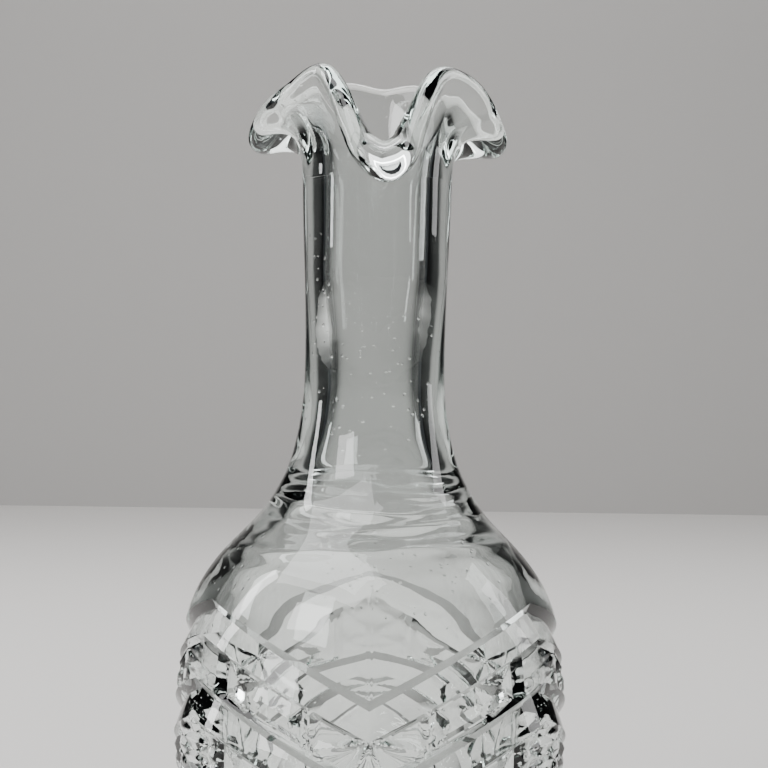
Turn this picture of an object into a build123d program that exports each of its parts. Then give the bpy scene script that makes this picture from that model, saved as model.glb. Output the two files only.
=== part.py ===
from build123d import *

import os
from math import cos, radians, sin

import numpy as np

# Pressed-glass cruet: one piece of clear glass with a long neck and a lip worked out into three pouring lobes.
# Millimetres. +Z is up along the neck. The origin is the middle of the resting ring's plane, and the narrow
# front lobe points along -Y. Azimuths are in degrees, counted from the front towards +X.

# Driving dimensions
BODY_R = 39.0  # widest radius of the body
BODY_WIDEST_Z = 40.6
WALL = 4.7  # wall of the body at its widest
NECK_TOP_Z = 150.0  # where the mould's neck ring ends and the worked lip begins
NECK_TOP_R = 15.1
WAIST_Z = 110.0
WAIST_R = 14.1
BORE_R = 10.2  # straight stretch of the bore, where a stopper or pourer seats
BORE_LENGTH = 12.0
WAIST_BORE_R = 8.6
FOOT_R = 23.5  # outer edge of the resting ring's flat
FLOOR_Z = 8.4  # inside floor at the axis
PUNT_R = 19.5  # hollow under the base
PUNT_DEPTH = 1.6

# Lip: a sheet of even length, bent outwards from the neck and ended in a fire-polished bead
RING_STEP = 0.1  # the neck ring stands this proud of the lip on the outside
SEAT_STEP = 0.3  # and this proud on the inside, so that a cork clears the lip before it meets the bore
LIP_ROOT_WALL = NECK_TOP_R - RING_STEP - BORE_R - SEAT_STEP
LIP_RIM_WALL = 4.4
LIP_MID_R = BORE_R + SEAT_STEP + LIP_ROOT_WALL / 2
# azimuth, rim radius, rim height over the neck's top, direction of the sheet at the rim (90 is up, 0 is out)
# and how strongly the sheet holds its two end directions (more makes a tighter bend over the neck)
LIP_STATIONS = (
    (-152, 17.0, 19.3, 62, 18),
    (-131, 21.6, 14.6, 10, 20),
    (-112, 25.2, 8.7, -8, 24),
    (-92, 21.3, 13.4, 12, 21),
    (-71, 17.6, 16.4, 48, 18),
    (-45, 15.6, 19.2, 72, 18),
    (-26, 17.5, 15.2, 42, 18),
    (-15, 20.0, 8.4, -5, 18),
    (-6, 23.9, 2.1, -48, 18),
    (4, 25.5, -1.4, -65, 18),
    (14, 23.5, 2.1, -48, 18),
    (22, 19.8, 8.4, -5, 18),
    (34, 17.1, 15.4, 42, 18),
    (49, 15.9, 18.8, 66, 18),
    (65, 16.7, 19.0, 66, 18),
    (80, 19.2, 17.1, 40, 19),
    (98, 22.6, 12.4, 8, 21),
    (114, 25.4, 8.4, 4, 24),
    (132, 22.0, 14.0, 15, 20),
    (150, 17.4, 18.9, 60, 18),
    (176, 16.2, 18.4, 76, 18),
)

# Mitre cuts: on each of the three panels three rows of V, each arm a plane section of the body
PANELS = 3
CHEVRON_FEET_Z = (49.8, 33.6, 17.4)  # height of a V's point, one value for each row
CHEVRON_SLOPE = 0.516  # rise of an arm for each millimetre across the panel
MITRE_DEPTH = 1.2
MITRE_UPPER = 2.0  # height of the cut's upper side
MITRE_LOWER = 5.2
MITRE_PROUD = 0.8  # how far the cutter stands out of the glass
ARM_STEPS = 6  # sections lofted along one arm
SETTLING_ROUNDS = 30  # repeats that settle an arm's height on the curved outside


def tangent_path(stations):
    """A smooth outline through (r, z, heading) stations, each span a Bezier that a circle's arc would fit."""
    spans = []
    for (r0, z0, h0), (r1, z1, h1) in zip(stations, stations[1:]):
        turn = (h1 - h0 + 180) % 360 - 180
        reach = np.hypot(r1 - r0, z1 - z0) / (3 * cos(radians(turn) / 4) ** 2)
        spans.append(
            [
                (r0, z0),
                (r0 + reach * cos(radians(h0)), z0 + reach * sin(radians(h0))),
                (r1 - reach * cos(radians(h1)), z1 - reach * sin(radians(h1))),
                (r1, z1),
            ]
        )
    return spans


OUTSIDE = tangent_path(
    [
        (FOOT_R, 0.0, 0),
        (27.1, 4.0, 54),
        (BODY_R, BODY_WIDEST_Z, 90),
        (37.7, 58.0, 98.5),
        (35.9, 66.0, 111),
        (27.7, 78.0, 135),
        (20.6, 86.0, 122),
        (16.7, 94.0, 107.5),
        (WAIST_R, WAIST_Z, 91),
        (NECK_TOP_R, NECK_TOP_Z, 89),
    ]
)
INSIDE = tangent_path(
    [
        (BORE_R, NECK_TOP_Z - BORE_LENGTH, 270),
        (WAIST_BORE_R, WAIST_Z, 270),
        (10.9, 93.0, 287),
        (16.9, 83.7, 302),
        (24.9, 75.2, 315),
        (31.6, 64.3, 291),
        (BODY_R - WALL, 42.0, 270),
        (29.6, 16.6, 236),
        (17.0, 9.2, 190),
        (0.0, FLOOR_Z, 180),
    ]
)


def bezier_points(span, count=40):
    """Points along one Bezier span."""
    t = np.linspace(0, 1, count)[:, None]
    a, b, c, d = (np.array(p) for p in span)
    return a * (1 - t) ** 3 + 3 * b * t * (1 - t) ** 2 + 3 * c * t**2 * (1 - t) + d * t**3


OUTLINE = np.vstack([bezier_points(span) for span in OUTSIDE])


def outside_radius(z):
    """Radius of the outside at a height."""
    return float(np.interp(z, OUTLINE[:, 1], OUTLINE[:, 0]))


def turned_bottle():
    """The body, shoulder and neck: one wall turned about the axis."""
    edges = [Bezier(*[(r, 0, z) for r, z in span]) for span in OUTSIDE]
    edges.append(Line((NECK_TOP_R, 0, NECK_TOP_Z), (BORE_R, 0, NECK_TOP_Z)))
    edges.append(Line((BORE_R, 0, NECK_TOP_Z), (BORE_R, 0, NECK_TOP_Z - BORE_LENGTH)))
    edges += [Bezier(*[(r, 0, z) for r, z in span]) for span in INSIDE]
    edges.append(Line((0, 0, FLOOR_Z), (0, 0, PUNT_DEPTH)))
    edges.append(Bezier((0, 0, PUNT_DEPTH), (PUNT_R * 0.7, 0, PUNT_DEPTH), (PUNT_R, 0, 0)))
    edges.append(Line((PUNT_R, 0, 0), (FOOT_R, 0, 0)))
    return revolve(make_face(Wire(edges)), Axis.Z, 360)


def mitre_section(foot_z, azimuth, turn):
    """The cutter's triangle in the upright plane at an azimuth within the panel, all turned about the axis."""
    z = foot_z
    for _ in range(SETTLING_ROUNDS):
        z = foot_z + CHEVRON_SLOPE * abs(outside_radius(z) * sin(radians(azimuth)))
    grow = (MITRE_DEPTH + MITRE_PROUD) / MITRE_DEPTH
    corners = []
    for rise, out in ((0, -MITRE_DEPTH), (MITRE_UPPER * grow, MITRE_PROUD), (-MITRE_LOWER * grow, MITRE_PROUD)):
        r = outside_radius(z + rise) + out
        a = radians(azimuth + turn)
        corners.append(Vector(r * sin(a), -r * cos(a), z + rise))
    return Wire.make_polygon(corners)


def mitre_cutter(foot_z):
    """The cutter for one row of V all round: each arm is lofted from a V's point to the peak between panels."""
    half_panel = 180 / PANELS
    arms = []
    for panel in range(PANELS):
        for side in (-1, 1):
            azimuths = [side * half_panel * k / ARM_STEPS for k in range(ARM_STEPS + 1)]
            sections = [mitre_section(foot_z, a, panel * 2 * half_panel) for a in azimuths]
            arms.append(Solid.make_loft(sections))
    return arms


def lip_station(azimuth):
    """The four values of a lip station at any azimuth, by a periodic cubic through the stations."""
    knots = np.array(LIP_STATIONS, dtype=float)
    wrapped = np.vstack([knots - [360, 0, 0, 0, 0], knots, knots + [360, 0, 0, 0, 0]])
    a, values = wrapped[:, 0], wrapped[:, 1:]
    slopes = (values[2:] - values[:-2]) / (a[2:] - a[:-2])[:, None]
    a, values = a[1:-1], values[1:-1]
    i = int(np.searchsorted(a, azimuth, side="right")) - 1
    width = a[i + 1] - a[i]
    t = (azimuth - a[i]) / width
    return (
        values[i] * (2 * t**3 - 3 * t**2 + 1)
        + slopes[i] * width * (t**3 - 2 * t**2 + t)
        + values[i + 1] * (3 * t**2 - 2 * t**3)
        + slopes[i + 1] * width * (t**3 - t**2)
    )


def lip_middle(azimuth, t):
    """A point of the lip's middle surface: t is 0 at the root in the neck and 1 at the rim."""
    rim_r, rim_rise, rim_way, hold = lip_station(azimuth)
    ends = np.array([[LIP_MID_R, NECK_TOP_Z], [rim_r, NECK_TOP_Z + rim_rise]])
    way = np.array([[0, 1], [cos(radians(rim_way)), sin(radians(rim_way))]]) * hold
    r, z = (
        ends[0] * (2 * t**3 - 3 * t**2 + 1)
        + way[0] * (t**3 - 2 * t**2 + t)
        + ends[1] * (3 * t**2 - 2 * t**3)
        + way[1] * (t**3 - t**2)
    )
    a = radians(azimuth)
    return np.array([r * sin(a), -r * cos(a), z])


def lip_point(azimuth, t, around):
    """A point of the lip's skin. around is -90 on the outside, 90 on the inside, and between them on the bead."""
    step = 0.01
    across = lip_middle(azimuth + 1, t) - lip_middle(azimuth - 1, t)
    along = lip_middle(azimuth, t + step) - lip_middle(azimuth, t - step)
    if t == 0:
        along = np.array([0.0, 0.0, 1.0])
    inward = np.cross(along, across)
    inward /= np.linalg.norm(inward)
    rimward = np.cross(across, inward)
    rimward /= np.linalg.norm(rimward)
    half = (LIP_ROOT_WALL + (LIP_RIM_WALL - LIP_ROOT_WALL) * t) / 2
    side = radians(around)
    return lip_middle(azimuth, t) + half * (inward * sin(side) + rimward * cos(side))


def lip_ring(t, around, count=60):
    """A closed ring of the lip's skin."""
    azimuths = [-180 + 360 * k / count for k in range(count)]
    return Wire([Edge.make_spline([Vector(*lip_point(a, t, around)) for a in azimuths], periodic=True)])


def lip_skin():
    """The lip's skin, lofted up the outside, over the bead and down the inside, with its first and last rings."""
    heights = (0.0, 0.12, 0.3, 0.5, 0.7, 0.87, 1.0)
    rings = [lip_ring(t, -90) for t in heights]
    rings += [lip_ring(1.0, around) for around in (-45, 0, 45)]
    rings += [lip_ring(t, 90) for t in reversed(heights)]
    return Shell.make_loft(rings).faces(), rings[0], rings[-1]


def neck_circle(radius):
    """A circle at the neck's top."""
    return Wire(Edge.make_circle(radius, Plane.XY.offset(NECK_TOP_Z)))


def vessel():
    """The whole cruet: bottle and lip sewn into one skin at the neck ring, and the rows of V cut into it."""
    skin, outer_ring, inner_ring = lip_skin()
    walls = [f for f in turned_bottle().faces() if f.bounding_box().min.Z < NECK_TOP_Z - 0.01]
    ledges = [Face(neck_circle(NECK_TOP_R), [outer_ring]), Face(inner_ring, [neck_circle(BORE_R)])]
    glass = Solid(Shell([*walls, *ledges, *skin]))
    for foot_z in CHEVRON_FEET_Z:
        for arm in mitre_cutter(foot_z):
            glass -= arm
    return glass


os.makedirs("parts", exist_ok=True)
export_step(vessel(), "parts/vessel.step")
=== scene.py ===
import logging
import math
from dataclasses import dataclass, field
from enum import Enum

import bpy
import numpy as np
from mathutils import Matrix, Vector


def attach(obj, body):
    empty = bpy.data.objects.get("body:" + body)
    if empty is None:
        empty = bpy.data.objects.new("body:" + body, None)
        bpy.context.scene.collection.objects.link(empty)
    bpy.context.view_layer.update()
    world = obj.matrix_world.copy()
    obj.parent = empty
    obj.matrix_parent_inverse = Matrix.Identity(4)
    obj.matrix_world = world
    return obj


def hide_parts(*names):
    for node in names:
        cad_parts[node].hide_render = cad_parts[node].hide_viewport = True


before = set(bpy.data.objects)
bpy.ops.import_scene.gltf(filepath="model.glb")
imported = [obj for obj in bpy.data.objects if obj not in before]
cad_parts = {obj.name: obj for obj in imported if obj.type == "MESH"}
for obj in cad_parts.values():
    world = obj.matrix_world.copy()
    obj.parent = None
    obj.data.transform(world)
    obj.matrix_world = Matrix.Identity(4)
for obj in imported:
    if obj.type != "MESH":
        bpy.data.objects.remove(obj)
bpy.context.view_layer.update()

MM = 0.001
LOG = logging.getLogger("cruet")
Array = np.ndarray
Colour = tuple[float, float, float]
Place = tuple[float, float, float]


def hermite(start: Array, start_way: Array, end: Array, end_way: Array, t: Array) -> Array:
    """Cubic between two values that leaves and arrives with the given slopes.

    Args:
        start: Value at t = 0.
        start_way: Slope at t = 0.
        end: Value at t = 1.
        end_way: Slope at t = 1.
        t: Where to read it, 0 to 1.

    Returns:
        start(2t^3 - 3t^2 + 1) + start_way(t^3 - 2t^2 + t) + end(3t^2 - 2t^3) + end_way(t^3 - t^2).
    """
    blend = 3 * t**2 - 2 * t**3
    return start * (1 - blend) + start_way * (t**3 - 2 * t**2 + t) + end * blend + end_way * (t**3 - t**2)


def turned(radius: Array, azimuth: Array, height: Array) -> Array:
    """Points from cylinder coordinates, azimuth counted from the front (-Y) towards +X.

    Args:
        radius: Distance from the axis.
        azimuth: Angle in radians.
        height: Height above the base.

    Returns:
        (r sin a, -r cos a, z) stacked on a last axis of three.
    """
    radius, azimuth, height = np.broadcast_arrays(radius, azimuth, height)
    return np.stack([radius * np.sin(azimuth), -radius * np.cos(azimuth), height], axis=-1)


@dataclass(frozen=True)
class Outline:
    """A smooth half section through stations of (radius, height, heading in degrees)."""

    stations: tuple[tuple[float, float, float], ...]
    readings: int = 600

    def run(self, share: Array) -> tuple[Array, Array]:
        """Points along the section.

        Each span is a cubic Bezier whose handles lie along the stations' headings and are
        chord / (3 cos^2(turn / 4)) long, as for a circle's arc.

        Args:
            share: Places along the section, whole numbers being the stations.

        Returns:
            Radii and heights.
        """
        table = np.array(self.stations)
        span = np.clip(share.astype(int), 0, len(table) - 2)
        t = share - span
        first, last = table[span], table[span + 1]
        turn = np.radians((last[:, 2] - first[:, 2] + 180) % 360 - 180)
        chord = np.hypot(last[:, 0] - first[:, 0], last[:, 1] - first[:, 1])
        reach = chord / np.cos(turn / 4) ** 2
        values = []
        for axis, wave in ((0, np.cos), (1, np.sin)):
            leave = wave(np.radians(first[:, 2])) * reach
            arrive = wave(np.radians(last[:, 2])) * reach
            values.append(hermite(first[:, axis], leave, last[:, axis], arrive, t))
        return values[0], values[1]

    def radius_at(self, height: Array) -> Array:
        """Radius at each height, for a section that only climbs.

        Args:
            height: Heights in millimetres.

        Returns:
            Radii in millimetres.
        """
        radii, heights = self.run(np.linspace(0, len(self.stations) - 1, self.readings))
        return np.interp(height, heights, radii)


@dataclass(frozen=True)
class Columns:
    """The upright lines of the mesh, closest together at the V's points.

    A panel is a third of the way round. Within half a panel the columns lie at even steps of the sine of
    the azimuth, so that a plane cut across the body meets them at even heights.
    """

    panels: int = 3
    per_half: int = 80

    def counts(self) -> Array:
        """Columns from the nearest V's point, for each column all round, as whole numbers."""
        half = np.arange(self.per_half)
        return np.tile(np.concatenate([self.per_half - half, half]), self.panels)

    def azimuths(self) -> Array:
        """Azimuth of each column, starting between two panels.

        The sine of the azimuth within a panel is sin(half a panel's angle) * count / columns in half a panel.

        Returns:
            Azimuths in radians.
        """
        half_angle = math.pi / self.panels
        within = np.arcsin(self.counts() / self.per_half * math.sin(half_angle))
        side = np.tile(np.repeat([-1.0, 1.0], self.per_half), self.panels)
        panel = np.repeat(np.arange(self.panels), 2 * self.per_half)
        return side * within + 2 * half_angle * panel

    def right_side(self) -> Array:
        """True for the columns to the right of their V's point."""
        return np.tile(np.repeat([False, True], self.per_half), self.panels)


@dataclass(frozen=True)
class CutPattern:
    """The pressed cutting of the body: rows of V, table-cut blocks, fans and diamond points.

    It is laid out on a lattice: k counts columns from a V's point and j counts rows down from the first
    V's crease. Rows run along the V, and k - j is constant along lines that slope the other way. Bevels
    and margins of the block and the tongue are given for the side towards the fan, the far side, the top
    and the bottom.
    """

    crease_z: float = 49.8
    pitch: float = 16.2
    rows_per_pitch: int = 37
    slope: float = 0.516
    settling_rounds: int = 30
    depth: float = 1.7
    upper_rows: int = 5
    lower_rows: int = 12
    first_row: int = -7
    last_row: int = 93
    fan_columns: int = 27
    block_columns: int = 66
    knee_column: float = 56.0
    knee_row: float = 11.0
    lean_above_knee: float = 0.9
    lean_below_knee: float = 0.5
    inner_lean: float = 0.18
    groove_columns: float = 4.0
    edge_rows: float = 2.5
    foot_fade_rows: float = 6.0
    fan_rays: int = 7
    fan_depth: float = 1.0
    fan_column: float = 0.39
    fan_column_drop: float = 0.20
    fan_start: float = 1.4
    fan_reach: float = 11.5
    fan_end: float = 2.5
    block_depth: float = 1.15
    block_bevels: tuple[int, int, int, int] = (6, 6, 7, 5)
    block_top: int = 2
    block_bottom: int = 1
    tongue_bevels: tuple[int, int, int, int] = (6, 7, 6, 6)
    tongue_top: int = 1
    diamond: int = 8
    diamond_depths: tuple[float, ...] = (0.08, 0.5, 0.5)
    diamond_hollowing: float = 1.5

    def rows(self) -> Array:
        """Lattice rows from the bottom one up."""
        return np.arange(self.last_row, self.first_row - 1, -1)

    def heights(self, rows: Array, azimuths: Array, body: Outline, panels: int) -> Array:
        """Height of each lattice point.

        Height = row height + slope * R(height) * |sin(azimuth within the panel)|, settled by repeats
        that start from the fullest radius.

        Args:
            rows: Lattice rows.
            azimuths: Azimuth of each column.
            body: The body's section.
            panels: Panels all round.

        Returns:
            Heights, rows by columns.
        """
        half = math.pi / panels
        across = np.abs(np.sin((azimuths + half) % (2 * half) - half))[None, :]
        foot = self.crease_z - rows[:, None] * self.pitch / self.rows_per_pitch
        fullest = max(radius for radius, _, _ in body.stations)
        height = foot + self.slope * fullest * across
        for _ in range(self.settling_rounds):
            height = foot + self.slope * body.radius_at(height) * across
        return height

    def mitre(self, down: Array) -> Array:
        """Depth of the V's groove against rows below its crease.

        Args:
            down: Rows below the crease, 0 to rows_per_pitch.

        Returns:
            A narrow upper side and a wide lower side that meet at full depth in the crease.
        """
        lower = 1 - down / self.lower_rows
        upper = 1 - (self.rows_per_pitch - down) / self.upper_rows
        return self.depth * np.clip(np.maximum(lower, upper), 0, 1)

    def fan(self, k: Array, t: Array) -> Array:
        """Depth of the fan under a V's point.

        Rays leave the point. The depth is |cos(rays * angle / 2)|, the angle being counted from straight
        down, so that sharp ridges stand between round flutes. It dies out at the point and at the fan's end.

        Args:
            k: Columns from the V's point.
            t: Rows below the V's lower edge.

        Returns:
            Depths in millimetres.
        """
        right = k * self.fan_column
        down = t * self.pitch / self.rows_per_pitch - k * self.fan_column_drop
        angle = np.arctan2(right, down)
        length = np.hypot(right, down)
        flute = np.abs(np.cos(angle * self.fan_rays / 2))
        start = np.clip(length / self.fan_start, 0, 1)
        end = np.clip((self.fan_reach - length) / self.fan_end, 0, 1)
        return self.fan_depth * flute * (start * end)

    def inner_side(self, t: Array, band: int) -> Array:
        """Column of the block's side towards the fan, which leans out as it climbs.

        Args:
            t: Rows below the V's lower edge.
            band: Rows between that edge and the next V.

        Returns:
            Columns from the V's point.
        """
        return self.fan_columns + (band - t) * self.inner_lean

    def block(self, k: Array, t: Array, band: int) -> Array:
        """Depth of the table-cut block and of the hipped tongue beside it.

        The block is flat on top with a bevel down to a groove on its four sides. The tongue has bevels that
        meet in a ridge. Their common side leans out down to knee_row and back in below it. A bevel's depth
        falls evenly with the distance from its side over the bevel's width, and the deepest bevel counts.

        Args:
            k: Columns from the V's point.
            t: Rows below the V's lower edge.
            band: Rows between that edge and the next V.

        Returns:
            Depths in millimetres.
        """
        above = self.knee_column - (self.knee_row - t) * self.lean_above_knee
        below = self.knee_column - (t - self.knee_row) * self.lean_below_knee
        side = np.where(t < self.knee_row, above, below)
        low = band - self.block_bottom
        table = np.stack([k - self.inner_side(t, band), side - k, t - self.block_top, low - t])
        tongue = np.stack([k - side, self.block_columns - k, t - self.tongue_top, band - t])
        table = table / np.array(self.block_bevels)[:, None, None]
        tongue = tongue / np.array(self.tongue_bevels)[:, None, None]
        reach = np.maximum(table.min(axis=0), tongue.min(axis=0))
        return self.block_depth * np.clip(1 - reach, 0, 1)

    def groove(self, off: Array) -> Array:
        """Depth of a plain groove against the distance from its middle.

        Args:
            off: Columns from the middle.

        Returns:
            Depths in millimetres.
        """
        return self.block_depth * np.clip(1 - np.abs(off) / self.groove_columns, 0, 1)

    def diamonds(self, k: Array, j: Array) -> Array:
        """Depth between the diamond points.

        Two sets of grooves slope opposite ways, each a triangle wave of the lattice. The deeper one
        counts, raised to a power that rounds the points.

        Args:
            k: Columns from the V's point.
            j: Lattice rows.

        Returns:
            Depths in millimetres.
        """
        half = self.diamond / 2
        along = 1 - np.abs((j + half) % self.diamond - half) / half
        against = 1 - np.abs((k - j + half) % self.diamond - half) / half
        band = np.clip(j // self.rows_per_pitch, 0, len(self.diamond_depths) - 1).astype(int)
        depth = np.array(self.diamond_depths)[band]
        return depth * np.maximum(along, against) ** self.diamond_hollowing

    def depths(self, rows: Array, counts: Array) -> Array:
        """Depth of the cutting at each lattice point.

        The V's grooves, and between them the fan, the block with its tongue and the diamonds side by
        side, parted by upright grooves. The whole dies out over the last rows above the foot.

        Args:
            rows: Lattice rows.
            counts: Columns from the nearest V's point.

        Returns:
            Depths in millimetres, rows by columns.
        """
        j, k = np.broadcast_arrays(rows[:, None].astype(float), counts[None, :].astype(float))
        down = j % self.rows_per_pitch
        band = self.rows_per_pitch - self.upper_rows - self.lower_rows
        t = np.clip(down - self.lower_rows, 0, band)
        in_band = (down > self.lower_rows) & (down < self.rows_per_pitch - self.upper_rows) & (j > 0)
        inner = self.inner_side(t, band)
        outer = np.where(k <= self.block_columns, self.block(k, t, band), self.diamonds(k, j))
        filling = np.where(k < inner, self.fan(k, t), outer)
        partings = np.maximum(self.groove(k - inner), self.groove(k - self.block_columns))
        edges = np.clip(np.minimum(t, band - t) / self.edge_rows, 0, 1)
        filling = np.maximum(filling, partings) * edges
        mitre = np.where(j >= -self.upper_rows, self.mitre(down), 0.0)
        fade = np.clip((self.last_row - j) / self.foot_fade_rows, 0, 1)
        return np.where(in_band, filling, mitre) * fade


@dataclass(frozen=True)
class WorkedLip:
    """The lip, worked out hot from the neck into one narrow front lobe and two broad side lobes.

    Stations are (azimuth, rim radius, rise over the neck's top, direction of the sheet at the rim, and how
    strongly the sheet holds its end directions). Swells are (azimuth, spread, change of the rim's wall).
    """

    root_z: float = 150.0
    middle_r: float = 12.75
    root_wall: float = 4.5
    rim_wall: float = 4.35
    swells: tuple[tuple[float, float, float], ...] = (
        (4.0, 14.0, -0.9),
        (-116.0, 20.0, 1.4),
        (114.0, 17.0, 1.1),
    )
    azimuth_step: float = 1.0
    t_step: float = 0.01
    stations: tuple[tuple[float, float, float, float, float], ...] = (
        (-152, 17.0, 19.3, 62, 18),
        (-131, 21.6, 14.6, 10, 20),
        (-112, 25.2, 8.7, -8, 24),
        (-92, 21.3, 13.4, 12, 21),
        (-71, 17.6, 16.4, 48, 18),
        (-45, 15.6, 19.2, 72, 18),
        (-26, 17.5, 15.2, 42, 18),
        (-15, 20.0, 8.4, -5, 18),
        (-6, 23.9, 2.1, -48, 18),
        (4, 25.5, -1.4, -65, 18),
        (14, 23.5, 2.1, -48, 18),
        (22, 19.8, 8.4, -5, 18),
        (34, 17.1, 15.4, 42, 18),
        (49, 15.9, 18.8, 66, 18),
        (65, 16.7, 19.0, 66, 18),
        (80, 19.2, 17.1, 40, 19),
        (98, 22.6, 12.4, 8, 21),
        (114, 25.4, 8.4, 4, 24),
        (132, 22.0, 14.0, 15, 20),
        (150, 17.4, 18.9, 60, 18),
        (176, 16.2, 18.4, 76, 18),
    )

    def station(self, azimuth: Array) -> Array:
        """The four values of a station at any azimuth.

        A periodic cubic passes through the stations; its slope at one is that of the chord between the
        two beside it.

        Args:
            azimuth: Azimuths in degrees.

        Returns:
            Rim radius, rise, direction and hold on a last axis of four.
        """
        knots = np.array(self.stations, dtype=float)
        around = np.array([360.0, 0, 0, 0, 0])
        wrapped = np.vstack([knots - around, knots, knots + around])
        place, values = wrapped[:, 0], wrapped[:, 1:]
        slopes = (values[2:] - values[:-2]) / (place[2:] - place[:-2])[:, None]
        place, values = place[1:-1], values[1:-1]
        azimuth = (azimuth + 180) % 360 - 180
        i = np.searchsorted(place, azimuth, side="right") - 1
        width = (place[i + 1] - place[i])[..., None]
        t = (azimuth - place[i])[..., None] / width
        return hermite(values[i], slopes[i] * width, values[i + 1], slopes[i + 1] * width, t)

    def middle(self, azimuth: Array, t: Array) -> Array:
        """Points of the sheet's middle surface.

        In the upright plane at an azimuth the sheet is a cubic from the neck, going up, to the rim.

        Args:
            azimuth: Azimuths in degrees.
            t: 0 at the root and 1 at the rim.

        Returns:
            Points in millimetres.
        """
        azimuth, t = np.broadcast_arrays(azimuth, t)
        rim_r, rise, way, hold = np.moveaxis(self.station(azimuth), -1, 0)
        way = np.radians(way)
        radius = hermite(self.middle_r, 0.0, rim_r, np.cos(way) * hold, t)
        height = hermite(0.0, hold, rise, np.sin(way) * hold, t)
        return turned(radius, np.radians(azimuth), self.root_z + height)

    def skin(self, azimuth: Array, t: Array, around: Array) -> Array:
        """Points of the sheet's skin.

        The skin stands half the wall off the middle surface, along a direction that turns from the
        outside (-90 degrees) over the bead (0) to the inside (90). The wall changes evenly from the root to
        the rim, which is thinned where the front lobe was drawn out and swollen at the side lobes' tips.

        Args:
            azimuth: Azimuths in degrees, one for each column.
            t: 0 at the root and 1 at the rim, one for each row.
            around: The turning direction in degrees, one for each row.

        Returns:
            Points in millimetres, rows by columns by three.
        """
        azimuth, t, around = azimuth[None, :], t[:, None], around[:, None]
        side_step, rise_step = self.azimuth_step, self.t_step
        across = self.middle(azimuth + side_step, t) - self.middle(azimuth - side_step, t)
        along = self.middle(azimuth, t + rise_step) - self.middle(azimuth, t - rise_step)
        along = np.where((t == 0)[..., None], np.array([0.0, 0.0, 1.0]), along)
        inward = np.cross(along, across)
        inward /= np.linalg.norm(inward, axis=-1, keepdims=True)
        rimward = np.cross(across, inward)
        rimward /= np.linalg.norm(rimward, axis=-1, keepdims=True)
        rim_wall = self.rim_wall + sum(
            change * np.exp(-((((azimuth - middle + 180) % 360 - 180) / spread) ** 2))
            for middle, spread, change in self.swells
        )
        half = ((self.root_wall + (rim_wall - self.root_wall) * t) / 2)[..., None]
        side = np.radians(around)[..., None]
        return self.middle(azimuth, t) + half * (inward * np.sin(side) + rimward * np.cos(side))


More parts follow.
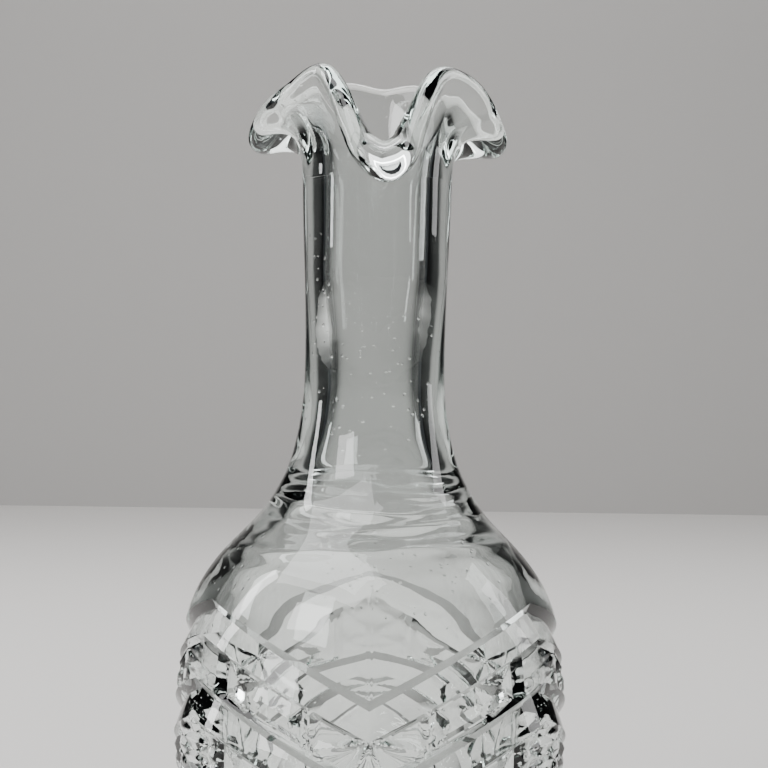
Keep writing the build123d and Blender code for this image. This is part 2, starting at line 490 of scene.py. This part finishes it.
class SkinMesh:
    """A closed skin built from rings, from the pole under the base to the pole on the inside floor."""

    def __init__(self, right_side: Array) -> None:
        """Starts an empty skin.

        Args:
            right_side: For each of the fullest ring's columns, whether it is right of its V's point.
        """
        self.right_side = right_side
        self.points: list[Array] = []
        self.faces: list[Array] = []
        self.count = 0
        self.last: Array | None = None
        self.first_pole = 0
        self.cut_start = 0
        self.cut_end = 0

    def _place(self, points: Array) -> Array:
        """Adds points and gives their indices.

        Args:
            points: Points in millimetres, three on the last axis.

        Returns:
            Indices with the same leading shape.
        """
        flat = points.reshape(-1, 3)
        index = np.arange(self.count, self.count + len(flat)).reshape(points.shape[:-1])
        self.points.append(flat)
        self.count += len(flat)
        return index

    def _join(self, low: Array, high: Array) -> None:
        """Faces between two neighbouring rings, which may differ in columns two to one.

        Between full rings each square is split along the diagonal that follows the cutting's creases.

        Args:
            low: Indices of the ring that comes first along the section.
            high: Indices of the next ring.
        """
        if len(low) == len(high):
            a, b, c, d = low, np.roll(low, -1), np.roll(high, -1), high
            if len(low) == len(self.right_side):
                right = self.right_side[:, None]
                self.faces.append(np.where(right, np.stack([a, b, d], 1), np.stack([a, b, c], 1)))
                self.faces.append(np.where(right, np.stack([b, c, d], 1), np.stack([a, c, d], 1)))
            else:
                self.faces.append(np.stack([a, b, c, d], 1))
            return
        flip = len(low) < len(high)
        full, half = (high, low) if flip else (low, high)
        a, m, b = full[0::2], full[1::2], np.roll(full[0::2], -1)
        c, d = np.roll(half, -1), half
        for triangle in ((a, m, d), (m, b, c), (m, c, d)):
            order = triangle[::-1] if flip else triangle
            self.faces.append(np.stack(order, 1))

    def pole(self, height: float) -> None:
        """Closes the skin on the axis, before the first ring or after the last.

        Args:
            height: Height of the pole in millimetres.
        """
        index = int(self._place(np.array([[0.0, 0.0, height]]))[0])
        if self.last is None:
            self.first_pole = index
            return
        ring = self.last
        self.faces.append(np.stack([ring, np.roll(ring, -1), np.full_like(ring, index)], 1))

    def rings(self, points: Array) -> None:
        """Adds rings in order along the section.

        Args:
            points: Rings by columns by three, in millimetres.
        """
        index = self._place(points)
        if self.last is None:
            ring = index[0]
            self.faces.append(np.stack([np.full_like(ring, self.first_pole), np.roll(ring, -1), ring], 1))
        else:
            self._join(self.last, index[0])
        for low, high in zip(index, index[1:]):
            self._join(low, high)
        self.last = index[-1]

    @staticmethod
    def _sharp(mesh: bpy.types.Mesh) -> Array:
        """Which edges are marked sharp.

        Args:
            mesh: The mesh to read.

        Returns:
            One boolean for each edge.
        """
        marks = np.zeros(len(mesh.edges), dtype=bool)
        if "sharp_edge" in mesh.attributes:
            mesh.attributes["sharp_edge"].data.foreach_get("value", marks)
        return marks

    def build(self, name: str, corner_angle: float, cut_angle: float) -> bpy.types.Object:
        """Makes the object at the origin, in metres.

        Args:
            name: Name of the piece.
            corner_angle: Edges anywhere that bend more than this many degrees are shaded sharp.
            cut_angle: Edges of the cutting that bend more than this many degrees are too.

        Returns:
            The linked object.
        """
        points = np.vstack(self.points) * MM
        faces = [face for block in self.faces for face in block.tolist()]
        mesh = bpy.data.meshes.new(name)
        mesh.from_pydata(points.tolist(), [], faces)
        mesh.update()
        mesh.polygons.foreach_set("use_smooth", np.ones(len(mesh.polygons), dtype=bool))
        mesh.set_sharp_from_angle(angle=math.radians(corner_angle))
        corners = self._sharp(mesh)
        mesh.set_sharp_from_angle(angle=math.radians(cut_angle))
        ends = np.empty(2 * len(mesh.edges), dtype=np.int32)
        mesh.edges.foreach_get("vertices", ends)
        ends = ends.reshape(-1, 2)
        in_cutting = ((ends >= self.cut_start) & (ends < self.cut_end)).all(axis=1)
        marks = corners | (self._sharp(mesh) & in_cutting)
        mesh.attributes["sharp_edge"].data.foreach_set("value", marks)
        obj = bpy.data.objects.new(name, mesh)
        bpy.context.scene.collection.objects.link(obj)
        mesh.calc_loop_triangles()
        LOG.info("%s: %d points, %d triangles", name, len(points), len(mesh.loop_triangles))
        return obj


@dataclass(frozen=True)
class Ripple:
    """Slow unevenness of glass blown against a mould: a few waves round and along the piece."""

    depth: float
    waves: tuple[tuple[int, float, float], ...]

    def at(self, azimuth: Array, height: Array) -> Array:
        """How far the surface lies inwards.

        The mean of cos(n a + h / length + phase) over the waves, moved to lie between 0 and depth.

        Args:
            azimuth: Azimuths in radians.
            height: Heights in millimetres.

        Returns:
            Distances in millimetres.
        """
        total = sum(np.cos(n * azimuth + height / length + phase) for n, length, phase in self.waves)
        return self.depth * (total / len(self.waves) + 1) / 2


@dataclass
class Vessel:
    """The cruet's one piece of glass.

    Lengths are in millimetres and angles in degrees. The runs of rings inside are (first place along the
    hollow's section, last place, number of rings).
    """

    columns: Columns = field(default_factory=Columns)
    cutting: CutPattern = field(default_factory=CutPattern)
    lip: WorkedLip = field(default_factory=WorkedLip)
    body: Outline = Outline(
        (
            (23.5, 0.0, 0),
            (27.1, 4.0, 54),
            (39.0, 40.6, 90),
            (37.7, 58.0, 98.5),
            (35.9, 66.0, 111),
            (27.7, 78.0, 135),
            (20.6, 86.0, 122),
            (16.7, 94.0, 107.5),
            (14.1, 110.0, 91),
            (15.1, 150.0, 89),
        )
    )
    hollow: Outline = Outline(
        (
            (10.2, 138.0, 270),
            (8.6, 110.0, 270),
            (10.9, 93.0, 287),
            (16.9, 83.7, 302),
            (24.9, 75.2, 315),
            (31.6, 64.3, 291),
            (34.3, 42.0, 270),
            (29.6, 16.6, 236),
            (17.0, 9.2, 190),
            (0.0, 8.4, 180),
        )
    )
    punt_radius: float = 19.5
    punt_depth: float = 1.6
    punt_crown: float = 0.7
    punt_start: float = 0.15
    punt_rings: int = 7
    foot_z: float = 3.0
    foot_rings: int = 8
    shoulder_z: float = 72.0
    shoulder_rings: int = 11
    throat_z: tuple[float, float] = (73.2, 96.0)
    throat_rings: int = 16
    shaft_z: float = 99.0
    shaft_rings: int = 13
    lip_rows: int = 20
    bead_rows: int = 12
    bore_step_z: float = 144.0
    inside_runs: tuple[tuple[float, float, int], ...] = ((0.0, 1.5, 8), (1.6, 4.3, 42), (4.45, 8.88, 20))
    seam_height: float = 0.055
    seam_low_z: float = 46.0
    seam_fades: tuple[float, float] = (3.0, 2.0)
    corner_angle: float = 45.0
    cut_angle: float = 17.0
    polish: float = 0.04
    ripple_low_z: float = 40.0
    ripple_fade: float = 30.0
    outer_ripple: Ripple = Ripple(0.16, ((2, 9.0, 0.4), (3, -14.0, 2.1), (5, 5.5, 4.0), (1, 21.0, 1.2)))
    mark_heights: tuple[float, ...] = (90.5, 87.5, 84.5, 81.0, 76.5)
    mark_depth: float = 0.24
    mark_width: float = 0.85
    mark_sway: float = 0.9
    mark_turn: float = 1.3
    press_z: float = 80.0
    press_reach: float = 13.0
    press_rings: Ripple = Ripple(0.6, ((1, 0.95, 0.5), (2, 1.25, 2.2), (6, 1.6, 4.1), (9, -2.3, 0.8)))
    inner_ripple: Ripple = Ripple(0.45, ((2, 7.5, 3.3), (3, 12.0, 0.9), (4, -5.0, 5.2), (1, 17.0, 2.6)))
    inner_fade: float = 6.0
    inner_fade_radius: float = 8.0

    def seam(self, counts: Array, height: Array) -> Array:
        """Height of the mould's seams, a thin ridge up each V's point.

        Args:
            counts: Columns from the nearest V's point.
            height: Heights in millimetres.

        Returns:
            Heights of the ridge, none below the cutting's first row or above the neck.
        """
        low_fade, high_fade = self.seam_fades
        low = np.clip((height - self.seam_low_z) / low_fade, 0, 1)
        high = np.clip((self.lip.root_z - height) / high_fade, 0, 1)
        return self.seam_height * np.where(counts == 0, 1.0, 0.0) * (low * high)

    def outer_radius(self, azimuths: Array, counts: Array, height: Array) -> Array:
        """Radius of the plain outside: the section less its fire polish and the ripple, and the seams.

        Args:
            azimuths: Azimuth of each column.
            counts: Columns from the nearest V's point.
            height: Heights in millimetres, rows by columns.

        Returns:
            Radii in millimetres.
        """
        runs = np.clip((height - self.ripple_low_z) / self.ripple_fade, 0, 1)
        radius = self.body.radius_at(height) - self.polish - self.outer_ripple.at(azimuths, height) * runs
        return radius + self.seam(counts, height)

    def press_marks(self, azimuths: Array, height: Array) -> Array:
        """Depth of the narrow rings that pressing left on the inside of the shoulder.

        Each is a bell curve across its height, exp(-(distance / width)^2), and sways up and down twice
        round, each a little further round than the last.

        Args:
            azimuths: Azimuth of each column, in one row.
            height: Heights in millimetres, in one column.

        Returns:
            Depths in millimetres.
        """
        total = np.zeros(np.broadcast_shapes(azimuths.shape, height.shape))
        for number, middle in enumerate(self.mark_heights):
            sway = self.mark_sway * np.cos(2 * azimuths + self.mark_turn * number)
            total += self.mark_depth * np.exp(-(((height - middle - sway) / self.mark_width) ** 2))
        return total

    def base(self, mesh: SkinMesh, azimuths: Array) -> None:
        """The hollow under the base and the resting ring.

        The hollow's section is a quadratic curve, level at the axis: height = depth * (1 - share^2).

        Args:
            mesh: The skin to add to.
            azimuths: Azimuth of each column.
        """
        mesh.pole(self.punt_depth)
        share = np.linspace(self.punt_start, 1, self.punt_rings)
        control = self.punt_radius * self.punt_crown
        radius = 2 * share * (1 - share) * control + share**2 * self.punt_radius
        height = self.punt_depth * (1 - share**2)
        mesh.rings(turned(radius[:, None], azimuths, height[:, None]))
        foot_radius, foot_height, _ = self.body.stations[0]
        mesh.rings(turned(np.array([[foot_radius]]), azimuths, np.array([[foot_height]])))

    def cut_body(self, mesh: SkinMesh, azimuths: Array, counts: Array) -> None:
        """The foot, the cut body and the shoulder's start, with rings that run along the V.

        Args:
            mesh: The skin to add to.
            azimuths: Azimuth of each column.
            counts: Columns from the nearest V's point.
        """
        rows = self.cutting.rows()
        cut_z = self.cutting.heights(rows, azimuths, self.body, self.columns.panels)
        depth = self.cutting.depths(rows, counts)
        low = np.linspace(0.0, 1.0, self.foot_rings + 1)[:-1, None]
        high = np.linspace(0.0, 1.0, self.shoulder_rings + 1)[1:, None]
        below = self.foot_z + (cut_z[0] - self.foot_z) * low
        above = cut_z[-1] + (self.shoulder_z - cut_z[-1]) * high
        height = np.vstack([below, cut_z, above])
        depth = np.vstack([np.zeros_like(below), depth, np.zeros_like(above)])
        mesh.cut_start = mesh.count
        mesh.rings(turned(self.outer_radius(azimuths, counts, height) - depth, azimuths, height))
        mesh.cut_end = mesh.count

    def neck(self, mesh: SkinMesh, azimuths: Array, counts: Array) -> None:
        """The shoulder and the neck up to the mould's ring.

        Args:
            mesh: The skin to add to.
            azimuths: Azimuth of each column.
            counts: Columns from the nearest V's point.
        """
        throat = np.linspace(*self.throat_z, self.throat_rings)
        shaft = np.linspace(self.shaft_z, self.lip.root_z, self.shaft_rings)
        height = np.concatenate([throat, shaft])
        height = np.broadcast_to(height[:, None], (len(height), len(azimuths)))
        mesh.rings(turned(self.outer_radius(azimuths, counts, height), azimuths, height))

    def lip_rings(self, mesh: SkinMesh, azimuths: Array) -> None:
        """The lip: up its outside, over the bead and down its inside to the bore's edge.

        Args:
            mesh: The skin to add to.
            azimuths: Azimuth of each column.
        """
        t = np.linspace(0, 1, self.lip_rows)
        turn = np.linspace(-90, 90, self.bead_rows + 2)[1:-1]
        along = np.concatenate([t, np.ones_like(turn), t[::-1]])
        around = np.concatenate([np.full_like(t, -90), turn, np.full_like(t, 90)])
        mesh.rings(self.lip.skin(np.degrees(azimuths), along, around))

    def inside(self, mesh: SkinMesh, azimuths: Array) -> None:
        """The bore, the inside of the neck, shoulder and body, and the floor.

        The section's radius grows by the ripple, which starts below the bore and dies out at the axis,
        and by the press rings and marks of the shoulder.

        Args:
            mesh: The skin to add to.
            azimuths: Azimuth of each column.
        """
        bore_radius, bore_end_z, _ = self.hollow.stations[0]
        bore = np.array([[self.lip.root_z], [self.bore_step_z]])
        mesh.rings(turned(np.full_like(bore, bore_radius), azimuths, bore))
        share = np.concatenate([np.linspace(first, last, count) for first, last, count in self.inside_runs])
        radius, height = self.hollow.run(share)
        below_bore = np.clip((bore_end_z - height) / self.inner_fade, 0, 1)
        off_axis = np.clip(radius / self.inner_fade_radius, 0, 1)
        shoulder = np.exp(-(((height - self.press_z) / self.press_reach) ** 2))
        around, level = azimuths[None, :], height[:, None]
        wave = self.inner_ripple.at(around, level) * (below_bore * off_axis)[:, None]
        wave = wave + self.press_rings.at(around, level) * shoulder[:, None]
        wave = wave + self.press_marks(around, level)
        mesh.rings(turned(radius[:, None] + wave, azimuths, level))
        mesh.pole(self.hollow.stations[-1][1])

    def build(self) -> bpy.types.Object:
        """Builds the whole skin in order.

        Returns:
            The glass object.
        """
        fine, counts = self.columns.azimuths(), self.columns.counts()
        coarse = fine[::2]
        mesh = SkinMesh(self.columns.right_side())
        self.base(mesh, coarse)
        self.cut_body(mesh, fine, counts)
        self.neck(mesh, coarse, counts[::2])
        self.lip_rings(mesh, coarse)
        self.inside(mesh, coarse)
        return mesh.build("glass_vessel", self.corner_angle, self.cut_angle)


class Maths(Enum):
    """Operations of the Math node that the socket wrapper offers."""

    ADD = "ADD"
    SUBTRACT = "SUBTRACT"
    MULTIPLY = "MULTIPLY"
    POWER = "POWER"


class ColourMix(Enum):
    """Sockets of a Mix node set to colours, by number, since its names repeat."""

    SHARE = 0
    FIRST = 6
    SECOND = 7
    RESULT = 2


@dataclass(frozen=True)
class Signal:
    """An output socket that can be used in arithmetic."""

    graph: "Graph"
    socket: bpy.types.NodeSocket

    def _with(self, kind: Maths, other: "Signal | float", swap: bool = False) -> "Signal":
        """Joins this value and another by a Math node.

        Args:
            kind: The operation.
            other: The second value.
            swap: Whether the other value comes first.

        Returns:
            The result.
        """
        first, second = (other, self) if swap else (self, other)
        made = self.graph.add("ShaderNodeMath", {"operation": kind.value}, {0: first, 1: second})
        return made["Value"]

    def __add__(self, other: "Signal | float") -> "Signal":
        """Sum."""
        return self._with(Maths.ADD, other)

    def __radd__(self, other: float) -> "Signal":
        """Sum with the number first."""
        return self._with(Maths.ADD, other, swap=True)

    def __sub__(self, other: "Signal | float") -> "Signal":
        """Difference."""
        return self._with(Maths.SUBTRACT, other)

    def __rsub__(self, other: float) -> "Signal":
        """Difference with the number first."""
        return self._with(Maths.SUBTRACT, other, swap=True)

    def __mul__(self, other: "Signal | float") -> "Signal":
        """Product."""
        return self._with(Maths.MULTIPLY, other)

    def __rmul__(self, other: float) -> "Signal":
        """Product with the number first."""
        return self._with(Maths.MULTIPLY, other, swap=True)

    def __pow__(self, other: "Signal | float") -> "Signal":
        """Power."""
        return self._with(Maths.POWER, other)


@dataclass(frozen=True)
class Made:
    """A node that has been added, read by the names or numbers of its outputs."""

    graph: "Graph"
    node: bpy.types.Node

    def __getitem__(self, name: str | int) -> Signal:
        """The output of that name or number."""
        return Signal(self.graph, self.node.outputs[name])


class Graph:
    """A material's node tree, emptied and filled through one method."""

    def __init__(self, name: str) -> None:
        """Starts an empty material.

        Args:
            name: Name of the material.
        """
        self.material = bpy.data.materials.new(name)
        self.material.use_nodes = True
        self.tree = self.material.node_tree
        self.tree.nodes.clear()

    def add(self, kind: str, settings: dict[str, object], inputs: dict[str | int, object]) -> Made:
        """Adds a node.

        Args:
            kind: Type of the node.
            settings: Values of its properties.
            inputs: Values or signals for its inputs, by name or number.

        Returns:
            The node.
        """
        node = self.tree.nodes.new(kind)
        for key, value in settings.items():
            setattr(node, key, value)
        for key, value in inputs.items():
            if isinstance(value, Signal):
                self.tree.links.new(value.socket, node.inputs[key])
            else:
                node.inputs[key].default_value = value
        return Made(self, node)


@dataclass(frozen=True)
class ClearGlass:
    """Fire-polished pressed glass with a very slight green tint in its depth."""

    colour: Colour = (0.985, 1.0, 0.992)
    ior: float = 1.52
    roughness: float = 0.012
    tint: Colour = (0.70, 0.93, 0.86)
    tint_density: float = 15.0
    ripple_scale: float = 95.0
    ripple_detail: float = 2.5
    ripple_height: float = 0.5
    speck_scale: float = 420.0
    speck_edge: tuple[float, float] = (0.07, 0.16)
    speck_patches: tuple[float, float] = (0.55, 0.60)
    patch_size: float = 9.0
    pit_height: float = 0.35
    pit_roughness: float = 0.25
    bump_strength: float = 0.8
    bump_distance: float = 0.00013

    def make(self) -> bpy.types.Material:
        """Builds the material.

        Returns:
            A clear glass whose normal carries a faint ripple and a few pits, with plain absorption.
        """
        graph = Graph("glass")
        place = graph.add("ShaderNodeTexCoord", {}, {})["Object"]
        ripple = graph.add(
            "ShaderNodeTexNoise",
            {},
            {"Vector": place, "Scale": self.ripple_scale, "Detail": self.ripple_detail},
        )
        specks = graph.add(
            "ShaderNodeTexVoronoi", {"feature": "F1"}, {"Vector": place, "Scale": self.speck_scale}
        )
        patches = graph.add(
            "ShaderNodeTexNoise",
            {},
            {"Vector": place, "Scale": self.speck_scale / self.patch_size, "Detail": 0.0},
        )
        near, far = self.speck_edge
        pit = graph.add(
            "ShaderNodeMapRange",
            {"interpolation_type": "SMOOTHSTEP"},
            {"Value": specks["Distance"], "From Min": near, "From Max": far, "To Min": 1.0, "To Max": 0.0},
        )
        bare, pitted = self.speck_patches
        few = graph.add(
            "ShaderNodeMapRange", {}, {"Value": patches["Fac"], "From Min": bare, "From Max": pitted}
        )
        pits = pit["Result"] * few["Result"]
        height = ripple["Fac"] * self.ripple_height - pits * self.pit_height
        bump = graph.add(
            "ShaderNodeBump",
            {},
            {"Strength": self.bump_strength, "Distance": self.bump_distance, "Height": height},
        )
        surface = graph.add(
            "ShaderNodeBsdfPrincipled",
            {},
            {
                "Base Color": (*self.colour, 1.0),
                "Roughness": pits * self.pit_roughness + self.roughness,
                "IOR": self.ior,
                "Transmission Weight": 1.0,
                "Normal": bump["Normal"],
            },
        )
        inside = graph.add(
            "ShaderNodeVolumeAbsorption", {}, {"Color": (*self.tint, 1.0), "Density": self.tint_density}
        )
        graph.add("ShaderNodeOutputMaterial", {}, {"Surface": surface["BSDF"], "Volume": inside["Volume"]})
        return graph.material


@dataclass(frozen=True)
class Matte:
    """A plain matte finish for the studio."""

    name: str
    colour: Colour
    roughness: float = 0.9

    def make(self) -> bpy.types.Material:
        """Builds the material.

        Returns:
            A plain diffuse material.
        """
        graph = Graph(self.name)
        surface = graph.add(
            "ShaderNodeBsdfPrincipled", {}, {"Base Color": (*self.colour, 1.0), "Roughness": self.roughness}
        )
        graph.add("ShaderNodeOutputMaterial", {}, {"Surface": surface["BSDF"]})
        return graph.material


@dataclass(frozen=True)
class PaintedShadeCard:
    """A matte card with painted shade: its colour is palest along its middle and falls off evenly to nearly
    black towards both sides, as if it were lit only along its middle.
    """

    name: str
    # middle is the card's colour where it is lit; side is the painted shade of its edges.
    middle: Colour
    side: Colour
    # The painted shade starts at the first distance from the middle line and is full at the second, in
    # metres.
    shade_from: float
    shade_to: float
    roughness: float = 0.9

    def make(self) -> bpy.types.Material:
        """Builds the material.

        Returns:
            A diffuse material whose colour follows |x|, the distance from the card's upright middle line, so
            that painted shade darkens it towards the sides.
        """
        graph = Graph(self.name)
        place = graph.add("ShaderNodeTexCoord", {}, {})["Object"]
        across = graph.add("ShaderNodeSeparateXYZ", {}, {"Vector": place})["X"]
        share = graph.add(
            "ShaderNodeMapRange",
            {"interpolation_type": "SMOOTHSTEP"},
            {"Value": (across * across) ** 0.5, "From Min": self.shade_from, "From Max": self.shade_to},
        )
        # Mixes the lit middle colour into the painted shade of the sides.
        shade = graph.add(
            "ShaderNodeMix",
            {"data_type": "RGBA"},
            {
                ColourMix.SHARE.value: share["Result"],
                ColourMix.FIRST.value: (*self.middle, 1.0),
                ColourMix.SECOND.value: (*self.side, 1.0),
            },
        )
        colour = shade[ColourMix.RESULT.value]
        surface = graph.add(
            "ShaderNodeBsdfPrincipled", {}, {"Base Color": colour, "Roughness": self.roughness}
        )
        graph.add("ShaderNodeOutputMaterial", {}, {"Surface": surface["BSDF"]})
        return graph.material


@dataclass(frozen=True)
class SoftLight:
    """A rectangular soft light aimed at a point."""

    name: str
    place: Place
    target: Place
    size: tuple[float, float]
    power: float

    def make(self) -> bpy.types.Object:
        """Builds the light.

        Returns:
            The linked light.
        """
        data = bpy.data.lights.new(self.name, "AREA")
        data.shape = "RECTANGLE"
        data.size, data.size_y = self.size
        data.energy = self.power
        obj = bpy.data.objects.new(self.name, data)
        way = Vector(self.target) - Vector(self.place)
        aim = way.to_track_quat("-Z", "Y").to_matrix().to_4x4()
        obj.matrix_world = Matrix.Translation(self.place) @ aim
        bpy.context.scene.collection.objects.link(obj)
        return obj


@dataclass(frozen=True)
class Studio:
    """A plain pale floor, a grey card that stands behind the object and darkens towards its sides with
    painted shade, soft lights and a dark surround.
    """

    floor_reach: float = 3.0
    wall_y: float = 1.3
    wall_height: float = 1.5
    wall_reach: float = 2.4
    pale: Matte = Matte("pale_floor", (0.74, 0.72, 0.70))
    # The card's nearly black sides are painted shade, set in its colour rather than left to the lights.
    card: PaintedShadeCard = PaintedShadeCard("backdrop", (0.47, 0.46, 0.45), (0.02, 0.02, 0.02), 0.34, 0.78)
    surround: Colour = (0.04, 0.042, 0.045)
    lights: tuple[SoftLight, ...] = (
        SoftLight("top", (0.0, 0.5, 0.9), (0.0, 0.0, 0.1), (1.1, 0.5), 5.0),
        SoftLight("above", (-0.3, -0.25, 0.9), (0.0, 0.0, 0.1), (0.9, 0.45), 6.0),
        SoftLight("key", (-0.75, -0.8, 0.75), (0.0, 0.1, 0.05), (0.5, 0.5), 8.0),
        SoftLight("left", (-1.0, 0.1, 0.6), (0.0, 0.0, 0.1), (0.14, 0.8), 5.0),
        SoftLight("right", (1.05, 0.2, 0.5), (0.0, 0.0, 0.1), (0.25, 0.7), 2.5),
        SoftLight("wall", (0.0, 0.6, 1.2), (0.0, 1.3, 0.3), (0.8, 0.25), 7.0),
    )

    @staticmethod
    def _sheet(name: str, corners: tuple[Place, ...], finish: Matte | PaintedShadeCard) -> bpy.types.Object:
        """One flat sheet of the studio.

        Args:
            name: Its name.
            corners: Its four corners in metres.
            finish: Its finish.

        Returns:
            The linked object.
        """
        mesh = bpy.data.meshes.new(name)
        mesh.from_pydata(corners, [], [(0, 1, 2, 3)])
        mesh.materials.append(finish.make())
        obj = bpy.data.objects.new(name, mesh)
        bpy.context.scene.collection.objects.link(obj)
        return obj

    def floor(self) -> bpy.types.Object:
        """The plain pale floor.

        Returns:
            The linked object.
        """
        far = self.floor_reach
        corners = ((-far, -far, 0.0), (far, -far, 0.0), (far, far, 0.0), (-far, far, 0.0))
        return self._sheet("floor", corners, self.pale)

    def backdrop(self) -> bpy.types.Object:
        """The card that stands behind the object.

        Returns:
            The linked object.
        """
        side, y, top = self.wall_reach, self.wall_y, self.wall_height
        corners = ((-side, y, 0.0), (side, y, 0.0), (side, y, top), (-side, y, top))
        return self._sheet("backdrop", corners, self.card)

    def build(self) -> None:
        """Puts the floor, the lights and the surround into the scene."""
        self.floor()
        self.backdrop()
        for light in self.lights:
            light.make()
        world = bpy.data.worlds.new("surround")
        world.use_nodes = True
        world.node_tree.nodes["Background"].inputs["Color"].default_value = (*self.surround, 1.0)
        bpy.context.scene.world = world


@dataclass(frozen=True)
class Viewpoint:
    """The camera, level with the neck's narrowest part and turned a little about its line of sight."""

    place: Place = (0.0019, -0.391, 0.1092)
    roll: float = 0.76
    lens: float = 91.64
    sensor: float = 36.0
    nearest: float = 0.01

    def build(self) -> bpy.types.Object:
        """Makes the scene's camera.

        Returns:
            The camera.
        """
        data = bpy.data.cameras.new("camera")
        data.lens = self.lens
        data.sensor_width = self.sensor
        data.clip_start = self.nearest
        obj = bpy.data.objects.new("camera", data)
        level = Matrix.Rotation(math.pi / 2, 4, "X")
        rolled = Matrix.Rotation(math.radians(self.roll), 4, "Z")
        obj.matrix_world = Matrix.Translation(self.place) @ level @ rolled
        bpy.context.scene.collection.objects.link(obj)
        bpy.context.scene.camera = obj
        return obj


def main() -> None:
    """Builds the glass, dresses it and sets the studio and the camera."""
    logging.basicConfig(level=logging.INFO, format="%(name)s %(message)s")
    glass = Vessel().build()
    glass.data.materials.append(ClearGlass().make())
    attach(glass, "root")
    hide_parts("vessel")
    Studio().build()
    Viewpoint().build()


if __name__ == "__main__":
    main()
